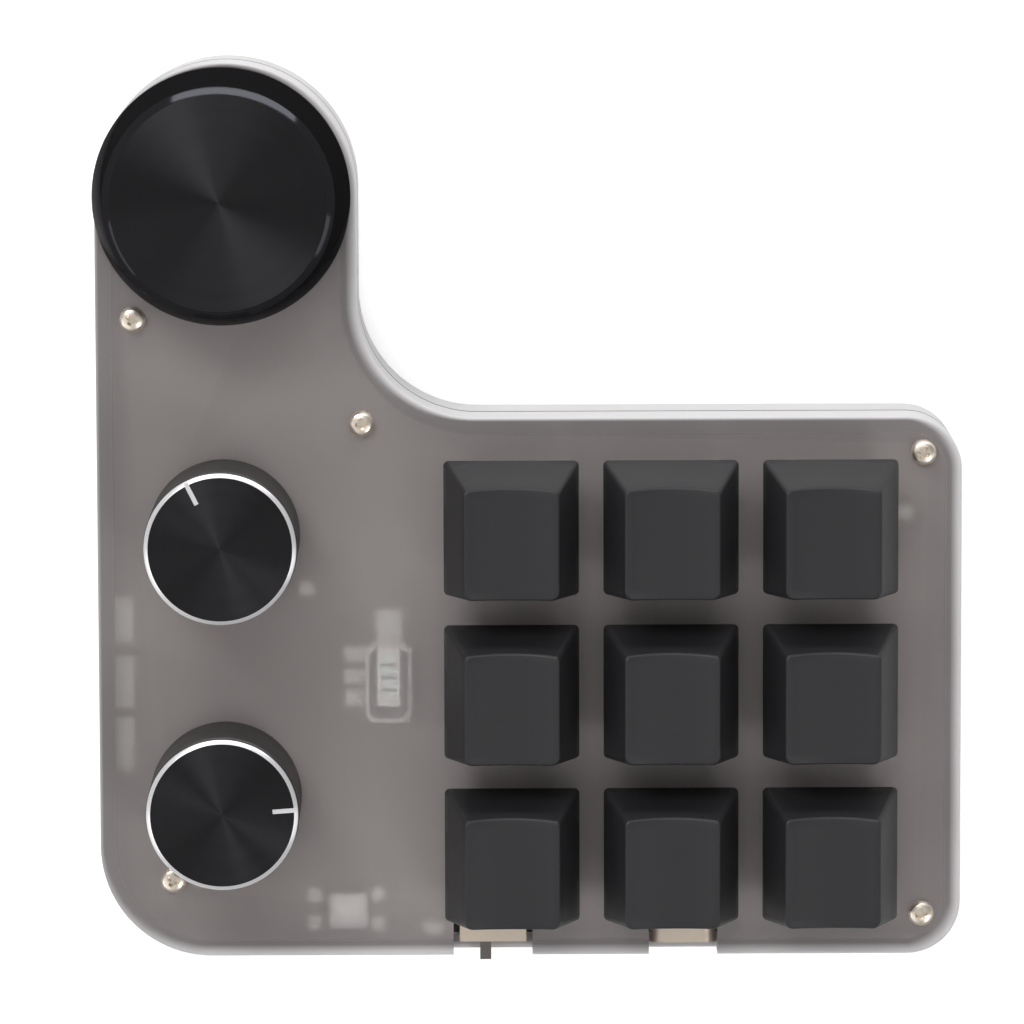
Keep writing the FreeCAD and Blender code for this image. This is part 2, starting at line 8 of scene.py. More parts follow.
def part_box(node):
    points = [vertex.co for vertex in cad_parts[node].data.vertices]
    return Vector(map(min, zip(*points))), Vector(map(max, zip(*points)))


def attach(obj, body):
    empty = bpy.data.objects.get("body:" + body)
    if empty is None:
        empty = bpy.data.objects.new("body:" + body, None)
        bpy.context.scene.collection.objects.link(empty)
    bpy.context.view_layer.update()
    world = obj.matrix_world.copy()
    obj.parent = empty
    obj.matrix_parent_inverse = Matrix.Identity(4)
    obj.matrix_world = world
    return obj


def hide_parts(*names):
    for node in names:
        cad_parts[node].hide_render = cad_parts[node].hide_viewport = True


# Desk macro keypad: nine tall keys, three push knobs and a frosted clear case over a black board.
# Sizes are in millimetres until a mesh is finished, and in metres from then on.

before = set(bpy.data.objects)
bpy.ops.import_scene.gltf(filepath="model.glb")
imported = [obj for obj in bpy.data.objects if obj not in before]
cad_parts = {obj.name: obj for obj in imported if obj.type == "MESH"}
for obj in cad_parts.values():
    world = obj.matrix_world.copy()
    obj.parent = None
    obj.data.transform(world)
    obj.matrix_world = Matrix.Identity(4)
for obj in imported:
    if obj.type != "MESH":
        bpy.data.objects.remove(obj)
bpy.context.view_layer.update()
scene = bpy.context.scene
mm = 0.001
over = 1.0  # how far a cutter reaches past the face that it opens
hair = 0.01  # less than the step between any two loops
turnedLength = 100.0  # length of a turned profile that fills one unit of its map
keyNames = ["r%dc%d" % (row, col) for row in (1, 2, 3) for col in (1, 2, 3)]
knobNames = ["big", "middle", "lower"]
print("frame loaded:", len(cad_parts), "nodes")


def corners(nodeName):  # lowest and highest corner of a CAD node, in millimetres
    low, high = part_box(nodeName)
    return Vector(low) / mm, Vector(high) / mm


def middle(nodeName):
    low, high = corners(nodeName)
    return (low + high) / 2


# Colours and nodes

def colour(hexText):  # sRGB hex to linear
    channels = [int(hexText[i:i + 2], 16) / 255 for i in (1, 3, 5)]
    linear = [c / 12.92 if c <= 0.04045 else ((c + 0.055) / 1.055) ** 2.4 for c in channels]
    return (*linear, 1.0)


def addNode(tree, kind, inputs=None, **settings):  # an input is a value or a (node, output) pair
    new = tree.nodes.new(kind)
    for name, value in settings.items():
        setattr(new, name, value)
    for name, value in (inputs or {}).items():
        socket = new.inputs[name]
        if isinstance(value, tuple) and len(value) == 2 and hasattr(value[0], "outputs"):
            tree.links.new(value[0].outputs[value[1]], socket)
        else:
            socket.default_value = value
    return new


def newMaterial(name):
    made = bpy.data.materials.new(name)
    made.use_nodes = True
    tree = made.node_tree
    tree.nodes.clear()
    return made, tree


def finishMaterial(tree, inputs):
    shader = addNode(tree, "ShaderNodeBsdfPrincipled", inputs)
    addNode(tree, "ShaderNodeOutputMaterial", {"Surface": (shader, "BSDF")})


def addNoise(tree, grain, detail=2.0, roughness=0.5):
    place = addNode(tree, "ShaderNodeTexCoord")
    noise = addNode(tree, "ShaderNodeTexNoise", {
        "Vector": (place, "Object"), "Scale": 1 / (grain * mm), "Detail": detail,
        "Roughness": roughness})
    return noise, "Fac"


def addSpread(tree, source, low, high):  # a share from 0 to 1 becomes a value from low to high
    spread = addNode(tree, "ShaderNodeMapRange", {"Value": source, "To Min": low, "To Max": high})
    return spread, "Result"


def addBlend(tree, share, first, second):
    blend = addNode(tree, "ShaderNodeMix", {"Factor": share, "A": first, "B": second}, data_type="RGBA")
    return blend, "Result"


def addTint(tree, share, hexText, gain, lift=0.0):  # the colour drifts to a slightly lighter one
    base = colour(hexText)
    lighter = [min(1.0, c * gain + lift) for c in base[:3]] + [1.0]
    return addBlend(tree, share, base, lighter)


def addBump(tree, source, strength, depth):
    bump = addNode(tree, "ShaderNodeBump", {
        "Height": source, "Strength": strength, "Distance": depth * mm})
    return bump, "Normal"


def addSeen(tree):  # 1 for what the camera sees straight or through the clear case, 0 for other light
    ray = addNode(tree, "ShaderNodeLightPath")
    seen = addNode(tree, "ShaderNodeMath", {
        0: (ray, "Is Camera Ray"), 1: (ray, "Is Transmission Ray")}, operation="MAXIMUM")
    return seen, "Value"


# Materials

def frostedAcrylic(name, plate, band, edge):  # each of the three: tint and clearness
    # Clear cast plastic with a blasted skin: grey haze on top, and what lies under it shows blurred.
    # Past the board's edge the haze is all there is. The sawn edge is pale, and on the top shell it also
    # carries a painted highlight: wider on the right and in front, where light falls, and dimmer on the
    # left.
    # The mesh says where: its rim value is 0 on the plate, 0.5 on the band and 1 on the edge.
    made, tree = newMaterial(name)
    blast = addNoise(tree, grain=0.25, roughness=0.6)
    cloud = addNoise(tree, grain=18, detail=3.0)
    rim = addNode(tree, "ShaderNodeAttribute", attribute_name="rim")
    onBand = addNode(tree, "ShaderNodeMapRange", {"Value": (rim, "Fac"), "From Max": 0.5})
    onEdge = addNode(tree, "ShaderNodeMapRange", {"Value": (rim, "Fac"), "From Min": 0.5})
    inner = addSpread(tree, (onBand, "Result"), plate[1], band[1])
    clearness = addSpread(tree, (onEdge, "Result"), inner, edge[1])
    # The band's tint comes in sooner than its haze
    sooner = addNode(tree, "ShaderNodeMath", {0: (onBand, "Result"), 1: 0.4}, operation="POWER")
    banded = addBlend(tree, (sooner, "Value"), addTint(tree, blast, plate[0], gain=1.05), colour(band[0]))
    edged = addBlend(tree, (onEdge, "Result"), banded, colour(edge[0]))
    finishMaterial(tree, {
        "Base Color": edged, "Roughness": addSpread(tree, cloud, 0.44, 0.52),
        "Normal": addBump(tree, blast, strength=0.12, depth=0.02), "IOR": 1.49,
        "Transmission Weight": clearness})
    return made


def mouldedPlastic(name, hexText, roughness, grain, relief):
    # Moulded plastic: the tool's spark-eroded texture breaks up the gloss
    made, tree = newMaterial(name)
    texture = addNoise(tree, grain, detail=3.0, roughness=0.65)
    wide = addNoise(tree, grain=6)
    finishMaterial(tree, {
        "Base Color": addTint(tree, texture, hexText, gain=1.18, lift=0.001),
        "Roughness": addSpread(tree, wide, roughness - 0.04, roughness + 0.04),
        "Normal": addBump(tree, texture, relief, depth=0.03), "IOR": 1.5})
    return made


def turnedAluminium(name, hexText, metal, roughness, stretch, ringWidth, relief):
    # Aluminium turned on a lathe: fine rings spread the light into a bow tie across the face
    made, tree = newMaterial(name)
    turned = addNode(tree, "ShaderNodeUVMap", uv_map="turned")
    along = addNode(tree, "ShaderNodeSeparateXYZ", {"Vector": (turned, "UV")})
    noise = addNode(tree, "ShaderNodeTexNoise", {
        "W": (along, "X"), "Scale": turnedLength / ringWidth, "Detail": 2.0}, noise_dimensions="1D")
    rings = (noise, "Fac")
    lathe = addNode(tree, "ShaderNodeTangent", direction_type="UV_MAP", uv_map="turned")
    finishMaterial(tree, {
        "Base Color": addTint(tree, rings, hexText, gain=1.2),
        "Roughness": addSpread(tree, rings, roughness * 0.85, roughness * 1.15),
        "Normal": addBump(tree, rings, relief, depth=0.01),
        "Metallic": metal, "Anisotropic": stretch, "Tangent": (lathe, "Tangent")})
    return made


def blackGloss(name, hexText, edgeHex, roughness):
    # Dyed and polished aluminium: near black from every side, with small sharp mirror images
    made, tree = newMaterial(name)
    finishMaterial(tree, {
        "Base Color": colour(hexText), "Specular Tint": colour(edgeHex),
        "Roughness": addSpread(tree, addNoise(tree, grain=3), roughness * 0.8, roughness * 1.2),
        "Metallic": 0.7, "Specular IOR Level": 0.0})
    return made


def platedSteel(name, hexText, roughness, grain):
    # Nickel or tin plate over steel: warm grey mirror with small dents from tumbling
    made, tree = newMaterial(name)
    dents = addNoise(tree, grain)
    finishMaterial(tree, {
        "Base Color": colour(hexText), "Metallic": 1.0,
        "Roughness": addSpread(tree, dents, roughness * 0.8, roughness * 1.3),
        "Normal": addBump(tree, dents, strength=0.15, depth=0.02)})
    return made


finishes = {
    # The top shell's edge colour is partly a painted highlight: it reaches in farther on the right and in
    # front, where light falls
    "shellTop": frostedAcrylic(
        "frostedAcrylicTop", ("#e5dddb", 0.78), ("#868080", 0.1), ("#fffdff", 0.3)),
    "shellCut": frostedAcrylic("frostedAcrylicCut", *[("#fffdff", 0.3)] * 3),
    "shellRoof": frostedAcrylic("frostedAcrylicRoof", *[("#fffdff", 0.92)] * 3),
    # On the bottom shell the dark band colour is painted shade in the seam under the top shell
    "shellBottom": frostedAcrylic(
        "frostedAcrylicBottom", ("#fffefe", 0.4), ("#3f3a36", 0.1), ("#fffefe", 0.4)),
    "mask": mouldedPlastic("solderMaskBlack", "#0c0c0d", 0.38, 0.4, 0.05),
    "keycap": mouldedPlastic("absTexturedBlack", "#1f1f22", 0.52, 0.22, 0.35),
    "housing": mouldedPlastic("nylonBlack", "#17171a", 0.45, 0.3, 0.15),
    "slider": mouldedPlastic("acetalRed", "#7d2a22", 0.35, 0.3, 0.05),
    "white": mouldedPlastic("nylonWhite", "#f0faf6", 0.45, 0.3, 0.1),
    "rotor": mouldedPlastic("acetalIvory", "#d8d5c8", 0.35, 0.3, 0.05),
    "lever": mouldedPlastic("nylonLever", "#6a6664", 0.4, 0.2, 0.2),
    "core": mouldedPlastic("absInsert", "#1c1c1d", 0.5, 0.3, 0.2),
    "rubber": mouldedPlastic("siliconeRubber", "#26262a", 0.7, 0.35, 0.4),
    "wire": mouldedPlastic("pvcInsulation", "#7a2320", 0.4, 0.5, 0.05),
    "mark": mouldedPlastic("whitePaint", "#dcecea", 0.5, 0.3, 0.05),
    "foil": platedSteel("aluminiumFoilPouch", "#c9cacc", 0.35, 1.5),
    "nickel": platedSteel("nickelPlatedSteel", "#f5eadb", 0.32, 0.6),
    "tin": platedSteel("tinnedSheetSteel", "#cfc9c0", 0.34, 0.5),
    "switchTin": platedSteel("dullTinPlate", "#e2d4c5", 0.5, 0.5),
    "spring": platedSteel("springSteel", "#bcbcbc", 0.3, 0.3),
    "brass": platedSteel("phosphorBronze", "#c9a45c", 0.3, 0.4),
    "knobFace": turnedAluminium("anodisedBlackSpun", "#323133", 1.0, 0.45, 0.93, 1.6, 0.1),
    "knobEdge": turnedAluminium("diamondCutEdge", "#f2eff3", 0.6, 0.3, 0.3, 2.0, 0.05),
    # The small knobs' sides are the same black anodised aluminium as the big knob's skirt; their lighter
    # grey is painted light on those sides
    "knobSidePaintedLight": blackGloss("anodisedBlackSidePaintedLight", "#5c5b5b", "#d8d4d5", 0.35),
    "knobSkirt": blackGloss("anodisedBlackSkirt", "#343335", "#716e6f", 0.22),
    "knobBevel": blackGloss("anodisedBlackBevel", "#38383c", "#606064", 0.1),
}
print("materials made:", len(finishes))

carried = {
    "circuit_board": "mask", "switch_upper_housings": "housing", "switch_lower_housings": "housing",
    "switch_pins": "brass", "switch_sockets": "housing", "encoder_bases": "housing",
    "encoder_frames": "tin", "usb_c_shell": "switchTin", "usb_c_tongue": "lever",
    "slide_switch_body": "switchTin", "slide_switch_lever": "lever", "reset_button_body": "white",
    "reset_button_plunger": "white", "header_housing": "white", "header_pins": "brass",
    "battery_cell": "foil", "battery_leads": "wire",
}
for name in keyNames:
    carried["key_stem_" + name] = "slider"
    carried["key_spring_" + name] = "spring"
for name in knobNames:
    carried[name + "_encoder_rotor"] = "rotor"
    carried[name + "_encoder_shaft"] = "tin"
    carried[name + "_knob_core"] = "core"
for nodeName, finish in carried.items():
    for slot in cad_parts[nodeName].material_slots:
        slot.material = finishes[finish]
print("CAD nodes finished:", len(carried))


# Mesh helpers

def newPiece(name, shape, materials):  # bmesh in millimetres to a finished object at the origin
    bmesh.ops.remove_doubles(shape, verts=shape.verts, dist=1e-5)
    bmesh.ops.recalc_face_normals(shape, faces=shape.faces)
    bmesh.ops.scale(shape, vec=(mm, mm, mm), verts=shape.verts)
    mesh = bpy.data.meshes.new(name)
    shape.to_mesh(mesh)
    shape.free()
    for made in materials:
        mesh.materials.append(made)
    piece = bpy.data.objects.new(name, mesh)
    scene.collection.objects.link(piece)
    return piece


def smooth(piece, degrees):
    for face in piece.data.polygons:
        face.use_smooth = True
    piece.data.set_sharp_from_angle(angle=math.radians(degrees))


def settle(piece, body, slotName, *nodes):
    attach(piece, body)
    if nodes:
        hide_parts(*nodes)


def bake(piece):  # modifiers become a plain mesh
    view = bpy.context.evaluated_depsgraph_get()
    plain = bpy.data.meshes.new_from_object(piece.evaluated_get(view))
    piece.modifiers.clear()
    piece.data = plain


def addBox(shape, low, high, material=0):
    made = bmesh.ops.create_cube(shape, size=1.0)["verts"]
    size = [b - a for a, b in zip(low, high)]
    centre = [(a + b) / 2 for a, b in zip(low, high)]
    bmesh.ops.scale(shape, vec=size, verts=made)
    bmesh.ops.translate(shape, vec=centre, verts=made)
    for face in {f for v in made for f in v.link_faces}:
        face.material_index = material
    return made


def addBlock(shape, x, y, w, d, z0, z1):  # a box round the middle x, y
    addBox(shape, (x - w / 2, y - d / 2, z0), (x + w / 2, y + d / 2, z1))


def addRings(shape, rings, side=0, end=0):  # each ring joins the next; side and last face's material
    rings = [[shape.verts.new(point) for point in ring] for ring in rings]
    shape.faces.new(rings[0][::-1])
    shape.faces.new(rings[-1]).material_index = end
    for low, high in zip(rings, rings[1:]):
        for i, corner in enumerate(low):
            k = (i + 1) % len(low)
            shape.faces.new([corner, low[k], high[k], high[i]]).material_index = side


def addPrism(shape, points, z0, z1):
    addRings(shape, [[(x, y, z) for x, y in points] for z in (z0, z1)])


def circlePoints(x, y, r, steps):
    turn = 2 * math.pi / steps
    return [(x + r * math.cos(i * turn), y + r * math.sin(i * turn)) for i in range(steps)]


def cutCorners(x, y, w, d, cut):
    hw, hd = w / 2, d / 2
    return [
        (x - hw + cut, y - hd), (x + hw - cut, y - hd), (x + hw, y - hd + cut), (x + hw, y + hd - cut),
        (x + hw - cut, y + hd), (x - hw + cut, y + hd), (x - hw, y + hd - cut), (x - hw, y - hd + cut)]


def carve(piece, cutter):
    tool = piece.modifiers.new("carve", "BOOLEAN")
    tool.operation = "DIFFERENCE"
    tool.solver = "EXACT"
    tool.use_self = True
    tool.object = cutter
    bake(piece)
    bpy.data.objects.remove(cutter)


# Case

case = {
    "frontLeftRound": 15.0, "cornerRound": 7.2, "hollowRound": 16.0, "shoulderY": 13.2, "neckX": -22.9,
    "edgeRound": 0.4, "seamChamfer": 0.25, "seamGap": 0.03, "roundSteps": 4, "arcStep": 4.0,
    "wallLoop": 0.15, "flatLoop": 0.2,  # these hold the shading flat beside a rounded or bevelled edge
    "boardInset": 2.05, "lidAboveBoard": 0.04,
    "keyHole": 14.0, "keyPocket": 15.4, "skin": 1.5, "encoderWindow": (13.8, 12.6),
    "screws": [(-52.9, 26.65), (-22.4, 12.55), (52.9, 8.4), (52.8, -54.3), (-48.1, -49.4)],
    "screwHole": {"round": 1.2, "steps": 24}, "thread": {"round": 1.0, "steps": 20, "end": 5.5},
    # rooms in the lower shell: margin left, front, right and back of what stands in them
    "floor": 3.5, "keyRoom": (2.4, 9.0, 4.0, 1.5), "cellRoom": (1.2, 1.0, 1.0, 1.0),
    "encoderRoom": (2.0, 2.6, 2.0, 2.6),
    # pockets under the lid: middle, width, depth, cut of the corners and bevel of the roof
    "pockets": [(-18.95, -22.85, 6.2, 10.7, 0.9, 0.5), (-24.55, -54.0, 5.1, 4.6, 0.5, 0.15)],
    "pocketRoof": 3.6, "lap": 0.5,  # pockets and notches start this far under the lid
    # notches in the front edge: left, right and back
    "usbNotch": (16.05, 25.35, -52.42), "slideNotch": (-10.35, 0.35, -54.3),
    "topInsets": (0.7, 1.0, 1.5, 2.0, 2.3), "bandInset": 2.3, "bandFade": 0.3,
    # the pale edge, partly a painted highlight: how far it reaches in, wider on the right and in front
    # where light falls, and its share on the left, which lies in shade
    "paintedEdgeLightReach": {"least": 0.4, "right": 0.9, "front": 0.9}, "edgeHold": 0.1, "leftEdgeLightShare": 0.35,
    "lidInset": 1.0,
}
caseLow, caseHigh = corners("top_shell")
bottomLow = corners("bottom_shell")[0]
boardHigh = corners("circuit_board")[1]


def arcRun(cx, cy, r, a0, a1):
    steps = max(2, round(abs(a1 - a0) / case["arcStep"]))
    run = []
    for i in range(steps + 1):
        t = math.radians(a0 + (a1 - a0) * i / steps)
        run.append((cx + r * math.cos(t), cy + r * math.sin(t)))
    return run


def caseOutline(inset):  # anticlockwise, same number of points for every inset
    left, right = caseLow.x + inset, caseHigh.x - inset
    front, back = caseLow.y + inset, caseHigh.y - inset
    shoulder, neck = case["shoulderY"] - inset, case["neckX"] - inset
    big, small = case["frontLeftRound"] - inset, case["cornerRound"] - inset
    hollow = case["hollowRound"] + inset
    lobe = (neck - left) / 2
    points = arcRun(right - small, front + small, small, -90, 0)
    points += arcRun(right - small, shoulder - small, small, 0, 90)
    points += arcRun(neck + hollow, shoulder + hollow, hollow, -90, -180)
    points += arcRun(left + lobe, back - lobe, lobe, 0, 180)
    points += arcRun(left + big, front + big, big, 180, 270)
    return points


def addSlab(shape, levels):  # levels: (inset, z) from the bottom to the top
    addRings(shape, [[(x, y, z) for x, y in caseOutline(inset)] for inset, z in levels])


def addPocket(shape, x, y, w, d, cut, bevel, z0, z1):  # its roof meets the sides at a bevel
    rings = []
    for inset, z in [(0.0, z0), (0.0, z1 - bevel), (bevel, z1)]:
        outline = cutCorners(x, y, w - 2 * inset, d - 2 * inset, cut)
        rings.append([(px, py, z) for px, py in outline])
    addRings(shape, rings, 1, 2)


def addScrewHoles(shape, hole, z0, z1):
    for x, y in case["screws"]:
        addPrism(shape, circlePoints(x, y, hole["round"], hole["steps"]), z0, z1)


def addRoom(shape, low, high, margins, top):
    left, front, right, back = margins
    addBox(shape, (low.x - left, low.y - front, case["floor"]), (high.x + right, high.y + back, top))


def roundLevels(z, step):  # edge rounding that ends at height z; step is +1 on top, -1 underneath
    r, loop = case["edgeRound"], case["wallLoop"]
    levels = [(0.0, z - step * (r + loop))]
    for i in range(case["roundSteps"] + 1):
        t = math.radians(90 * i / case["roundSteps"])
        levels.append((r - r * math.cos(t), z - step * r * (1 - math.sin(t))))
    levels.append((r + loop, z))
    return levels


def seamLevels(z, step):  # bevel that starts at height z; step is +1 over the seam, -1 under it
    chamfer = case["seamChamfer"]
    return [(chamfer + case["flatLoop"], z), (chamfer, z), (0.0, z + step * chamfer),
            (0.0, z + step * (chamfer + case["wallLoop"]))]


def markRimAndEdgeLight(piece):  # 0 over the board, 0.5 on the band outside it, up to 1 on the sawn edge
    run = np.array(caseOutline(0.0))
    step = np.roll(run, -1, axis=0) - run
    reach = case["paintedEdgeLightReach"]
    rim = piece.data.attributes.new("rim", "FLOAT", "POINT")
    for vert, value in zip(piece.data.vertices, rim.data):
        away = np.array(vert.co.xy) / mm - run
        share = np.clip((away * step).sum(axis=1) / (step ** 2).sum(axis=1), 0, 1)
        gap = np.hypot(*(away - share[:, None] * step).T)
        inset = gap.min()
        outward = Vector((step[gap.argmin()][1], -step[gap.argmin()][0])).normalized()
        # Painted highlight: the edge value reaches farther in on the right and in front, where light
        # falls, and is cut back on the left, which lies in shade
        width = reach["least"] + reach["right"] * max(0, outward.x) + reach["front"] * max(0, -outward.y)
        band = min(1, max(0, (case["bandInset"] - inset) / case["bandFade"]))
        edge = min(1, max(0, 1 + case["edgeHold"] - inset / width))
        if outward.x < 0:
            edge *= 1 + outward.x * (1 - case["leftEdgeLightShare"])
        lid = inset > case["lidInset"] and vert.co.z / mm < caseHigh.z - case["edgeRound"]
        value.value = 0 if lid else (band + edge) / 2


# Painted shade: the bottom shell's dark band colour goes on from this height up, along the seam
def markSeamShade(piece, height):  # 0.5 from this height up, where the two shells meet
    rim = piece.data.attributes.new("rim", "FLOAT", "POINT")
    for vert, value in zip(piece.data.vertices, rim.data):
        value.value = 0.5 if vert.co.z / mm > height - hair else 0


def buildTopShell():
    shape = bmesh.new()
    low, top = caseLow.z + case["seamGap"], caseHigh.z
    flat = [(inset, top) for inset in case["topInsets"]]
    addSlab(shape, seamLevels(low, 1) + roundLevels(top, 1) + flat)
    materials = [finishes[part] for part in ("shellTop", "shellCut", "shellRoof")]
    shell = newPiece("caseTop", shape, materials)
    cuts = bmesh.new()
    lid = boardHigh.z + case["lidAboveBoard"]
    addPrism(cuts, caseOutline(case["boardInset"]), low - over, lid)
    for name in keyNames:
        x, y = middle("key_spring_" + name).xy
        addBlock(cuts, x, y, case["keyHole"], case["keyHole"], lid - over, top + over)
        addBlock(cuts, x, y, case["keyPocket"], case["keyPocket"], lid - over, top - case["skin"])
    for name in knobNames:
        x, y = middle(name + "_encoder_rotor").xy
        addBlock(cuts, x, y, *case["encoderWindow"], lid - over, top + over)
    addScrewHoles(cuts, case["screwHole"], lid - over, top + over)
    start = lid - case["lap"]
    for pocket in case["pockets"]:
        addPocket(cuts, *pocket, start, boardHigh.z + case["pocketRoof"])
    for left, right, back in (case["usbNotch"], case["slideNotch"]):
        addBox(cuts, (left, caseLow.y - over, start), (right, back, top + over))
    carve(shell, newPiece("topCutter", cuts, materials))
    markRimAndEdgeLight(shell)
    smooth(shell, 35)
    settle(shell, "base", "frosted_top", "top_shell")


def buildBottomShell():
    shape = bmesh.new()
    top = caseLow.z - case["seamGap"]
    addSlab(shape, roundLevels(bottomLow.z, -1)[::-1] + seamLevels(top, -1)[::-1])
    shell = newPiece("caseBottom", shape, [finishes["shellBottom"]])
    cuts = bmesh.new()
    cellLow, cellHigh = corners("battery_cell")
    cellLow.x = corners("battery_leads")[0].x
    addRoom(cuts, *corners("switch_sockets"), case["keyRoom"], top + over)
    addRoom(cuts, cellLow, cellHigh, case["cellRoom"], top + over)
    addRoom(cuts, *corners("encoder_frames"), case["encoderRoom"], top + over)
    addScrewHoles(cuts, case["thread"], case["thread"]["end"], top + over)
    carve(shell, newPiece("bottomCutter", cuts, []))
    markSeamShade(shell, top - case["seamChamfer"])
    smooth(shell, 35)
    settle(shell, "base", "frosted_bottom", "bottom_shell")


buildTopShell()
buildBottomShell()
print("case made")


# Keycaps

keycap = {
    "cornerRound": 0.7, "frontTopRound": 1.2, "backTopRound": 0.7, "dish": 0.95, "edgeRound": 0.3,
    "topWidth": 12.6, "topDepth": 14.6, "topShift": -1.3, "wall": 1.5, "roof": 1.5, "footLip": 0.1,
    "arcSteps": 5, "longSteps": 10, "sideSteps": 6, "heightSteps": 5, "faceSteps": 7, "edgeSteps": 4,
    # the hollow inside: roundings, how much its roof is smaller than the top, and share of the shift
    "roomFootRound": 0.5, "roomTopRound": 0.8, "roomMargin": (1.2, 1.6), "roomShift": 0.75,
    # shares: the ring that closes the hollow's roof, how far the face's rings go in, the lowest loop
    "hub": 0.02, "faceShare": 0.97, "footShare": 0.012,
    "postRound": 2.7, "postSteps": 24, "postLift": 0.6,
}


def roundedSquare(w, d, front, back):  # front and back are the corner radii
    corner = [(1, -1, front, -90), (1, 1, back, 0), (-1, 1, back, 90), (-1, -1, front, 180)]
    runs = []
    for sideX, sideY, r, start in corner:
        centre = Vector((sideX * (w / 2 - r), sideY * (d / 2 - r)))
        turns = [math.radians(start + 90 * k / keycap["arcSteps"]) for k in range(keycap["arcSteps"] + 1)]
        runs.append([centre + Vector((r * math.cos(t), r * math.sin(t))) for t in turns])
    points = []
    for i, run in enumerate(runs):
        goal = runs[(i + 1) % 4][0]
        steps = keycap["sideSteps"] if i % 2 == 0 else keycap["longSteps"]
        points += run + [run[-1].lerp(goal, k / steps) for k in range(1, steps)]
    return points


def dishDepth(x):  # under the highest point of the cap, at a distance x from its middle
    half, dish = keycap["topWidth"] / 2, keycap["dish"]
    arc = (half ** 2 + dish ** 2) / (2 * dish)
    reach = min(abs(x), half)
    return dish - (arc - math.sqrt(arc ** 2 - reach ** 2))


def roomRings(width, depth, low, roof):  # the hollow, from the middle of its roof down to the foot
    wall, (marginX, marginY) = 2 * keycap["wall"], keycap["roomMargin"]
    footRound, topRound = keycap["roomFootRound"], keycap["roomTopRound"]
    base = roundedSquare(width - wall, depth - wall, footRound, footRound)
    top = roundedSquare(keycap["topWidth"] - marginX, keycap["topDepth"] - marginY, topRound, topRound)
    shift = Vector((0, keycap["topShift"])) * keycap["roomShift"]
    return [[(p * keycap["hub"], roof) for p in top], [(p + shift, roof) for p in top],
            [(p, low) for p in base]]


def skinRings(width, depth, low, high):  # up the sides, over the rounded edge and in across the dish
    height = high - low
    corner, edge = keycap["cornerRound"], keycap["edgeRound"]
    base = roundedSquare(width, depth, corner, corner)
    face = roundedSquare(keycap["topWidth"], keycap["topDepth"], keycap["frontTopRound"],
                         keycap["backTopRound"])
    shift = Vector((0, keycap["topShift"]))
    columns = [(b, f + shift, (height - dishDepth(f.x)) / height) for b, f in zip(base, face)]
    rings = [[(p * (1 - keycap["footLip"] / p.length), low) for p in base]]
    for i in range(keycap["heightSteps"] + 1):
        run = []
        for foot, top, rim in columns:
            share = max(keycap["footShare"], i / keycap["heightSteps"] * (rim - edge / height))
            run.append((foot.lerp(top, share), low + share * height))
        rings.append(run)
    for i in range(1, keycap["edgeSteps"] + 1):
        t = math.radians(90 * i / keycap["edgeSteps"])
        run = []
        for foot, top, rim in columns:
            side = foot.lerp(top, rim - edge / height * (1 - math.sin(t)))
            inward = (shift - side).normalized() * edge * (1 - math.cos(t))
            run.append((side + inward, low + rim * height - edge * (1 - math.sin(t))))
        rings.append(run)
    border = [p for p, z in rings[-1]]
    for i in range(1, keycap["faceSteps"] + 1):
        keep = 1 - i / keycap["faceSteps"] * keycap["faceShare"]
        run = [shift + (p - shift) * keep for p in border]
        rings.append([(p, high - dishDepth(p.x)) for p in run])
    return rings


def buildKeycap(name):
    low, high = corners("keycap_" + name)
    cx, cy = middle("key_spring_" + name).xy
    width, depth = high.x - low.x, high.y - low.y
    roof = high.z - keycap["dish"] - keycap["roof"]
    rings = roomRings(width, depth, low.z, roof) + skinRings(width, depth, low.z, high.z)
    shape = bmesh.new()
    addRings(shape, [[(cx + p.x, cy + p.y, z) for p, z in ring] for ring in rings])
    foot, r = low.z + keycap["postLift"], keycap["postRound"]
    post = bmesh.ops.create_cone(shape, segments=keycap["postSteps"], radius1=r, radius2=r,
                                 depth=roof - foot, cap_ends=False)
    bmesh.ops.translate(shape, vec=(cx, cy, (roof + foot) / 2), verts=post["verts"])
    cap = newPiece("cap_" + name, shape, [finishes["keycap"]])
    smooth(cap, 40)
    settle(cap, "key_" + name, "keycap_black", "keycap_" + name)


for name in keyNames:
    buildKeycap(name)
print("keycaps made:", len(keyNames))


# Knobs

knob = {
    "steps": 160, "fillSteps": 3,  # rounds: radius at each numbered corner of the profile
    "big": {"wall": 3.0, "roof": 1.4, "rim": 1.4, "waist": 15.35, "face": 14.35, "bevelHeight": 0.8,
            "rounds": {2: 0.2, 3: 0.3, 4: 0.6, 5: 0.12, 6: 0.05}},
    "small": {"wall": 1.0, "roof": 1.2, "bevel": 0.65, "bevelHeight": 0.4, "stepDown": 1.1, "step": 0.1,
              "markWidth": 0.6, "markIn": 6.7, "markDepth": 0.25,
              "rounds": {2: 0.2, 3: 0.3, 6: 0.06, 7: 0.05}},
    "markAngle": {"middle": 116.7, "lower": 4.0},
}


def roundProfile(points, radii):  # points: (r, z, material of the stretch that starts there)
    out = []
    for i, (r, z, material) in enumerate(points):
        here = Vector((r, z))
        radius = radii.get(i, 0)
        if not radius:
            out.append((r, z, material))
            continue
        before = (Vector(points[i - 1][:2]) - here).normalized()
        after = (Vector(points[i + 1][:2]) - here).normalized()
        half = before.angle(after) / 2
        reach = radius / math.tan(half)
        centre = here + (before + after).normalized() * (radius / math.sin(half))
        start, end = here + before * reach - centre, here + after * reach - centre
        for k in range(knob["fillSteps"] + 1):
            arm = start.lerp(end, k / knob["fillSteps"]).normalized() * radius
            out.append((centre.x + arm.x, centre.y + arm.y, material))
    return out


